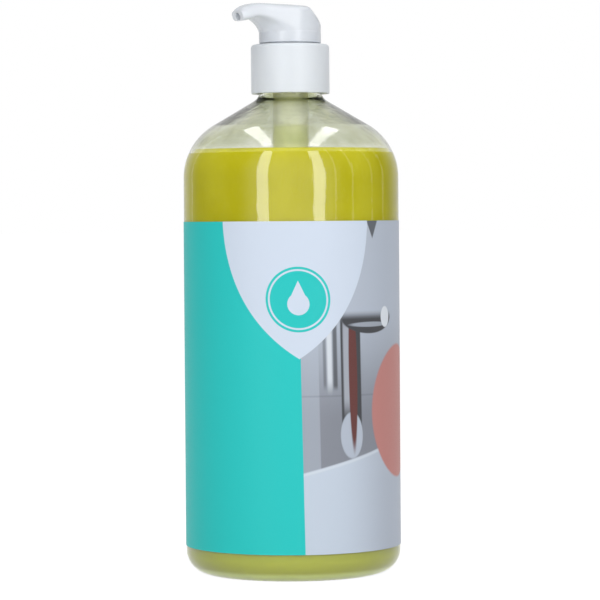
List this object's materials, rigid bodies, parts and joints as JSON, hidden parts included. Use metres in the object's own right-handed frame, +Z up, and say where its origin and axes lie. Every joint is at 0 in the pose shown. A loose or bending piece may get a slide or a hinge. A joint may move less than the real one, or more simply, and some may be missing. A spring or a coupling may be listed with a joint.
{
  "type": "pump bottle of liquid hand soap",
  "caption": "Clear round bottle of hand soap with a wrap-around label and a white lotion pump on a screw collar, locked down.",
  "frame": {"origin": "centre of the foot, on the surface that it stands on", "axes": "+Z up along the bottle and the pump's stem, -Y towards the middle of the label's front"},
  "size_m": [0.0884, 0.0886, 0.2326],
  "materials": {
    "clear_pet": "gloss",
    "soap": "gloss",
    "label_film": "satin",
    "white_plastic": "gloss",
    "natural_plastic": "satin",
    "seal_plastic": "matte",
    "spring_steel": "polished"
  },
  "bodies": {
    "bottle": {"bottle": "clear_pet", "liquid_soap": "soap", "label": "label_film"},
    "pump": {"pump_housing": "natural_plastic", "chaplet": "white_plastic", "neck_gasket": "seal_plastic", "check_ball": "spring_steel", "dip_tube": "natural_plastic", "return_spring": "spring_steel"},
    "collar": {"collar": "white_plastic"},
    "plunger": {"piston": "natural_plastic"},
    "head": {"piston_seat": "natural_plastic", "stem": "white_plastic", "actuator_head": "white_plastic"}
  },
  "joints": [
    {"name": "pump_rise", "type": "slide", "parent": "bottle", "child": "pump", "axis": [0, 0, 1], "range_m": [0, 0.0064]},
    {"name": "collar_turn", "type": "hinge", "parent": "pump", "child": "collar", "pos_m": [0, 0, 0.2], "axis": [0, 0, 1], "range_deg": [0, 540]},
    {"name": "head_stroke", "type": "slide", "parent": "pump", "child": "plunger", "axis": [0, 0, 1], "range_m": [0, 0.0145], "deforming": ["return_spring"]},
    {"name": "head_swivel", "type": "hinge", "parent": "plunger", "child": "head", "pos_m": [0, 0, 0.22], "axis": [0, 0, 1], "continuous": true}
  ],
  "couplings": [
    {"joint": "pump_rise", "follows": "collar_turn", "m_per_rad": 0.000673}
  ]
}
